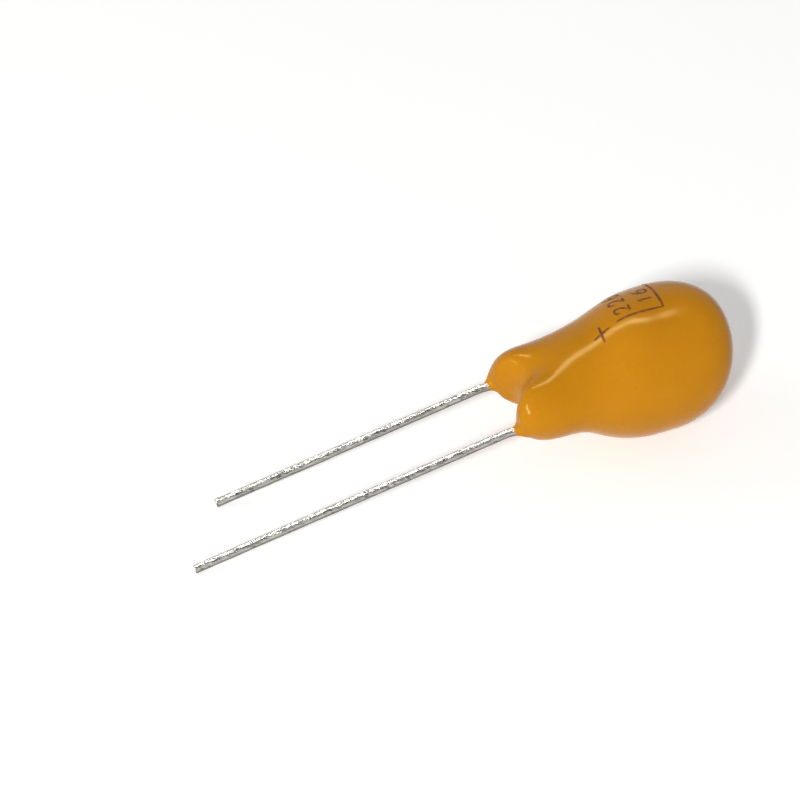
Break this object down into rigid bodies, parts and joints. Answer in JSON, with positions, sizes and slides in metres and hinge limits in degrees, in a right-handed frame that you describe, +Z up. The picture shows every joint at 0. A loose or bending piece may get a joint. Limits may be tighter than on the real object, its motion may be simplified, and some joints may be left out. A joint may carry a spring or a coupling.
{
  "type": "tantalum capacitor",
  "caption": "Radial dipped tantalum capacitor: pear-shaped glossy ochre resin body with two tinned wire leads, the positive one longer, and its layered anode inside.",
  "frame": {"origin": "centre of the whole part's box, on the surface that it lies on", "axes": "+X along the body from the lead tips to the dome, +Z up; the printed face is turned up and away from -Y"},
  "size_m": [0.033, 0.0086, 0.0086],
  "materials": {
    "epoxy": "glossy golden ochre dipped resin",
    "tinned_wire": "dull tinned wire with drawn streaks",
    "tantalum": "grey sintered metal",
    "ptfe": "white waxy",
    "manganese_dioxide": "black, rough",
    "graphite": "black, dull sheen",
    "silver_paint": "matt silver paint",
    "solder": "dull grey solder"
  },
  "bodies": {
    "root": {"epoxy_coat": "epoxy", "positive_lead": "tinned_wire", "negative_lead": "tinned_wire", "tantalum_anode": "tantalum", "anode_riser_wire": "tantalum", "ptfe_washer": "ptfe", "manganese_dioxide_layer": "manganese_dioxide", "graphite_layer": "graphite", "silver_layer": "silver_paint", "solder_coat": "solder"}
  },
  "joints": []
}
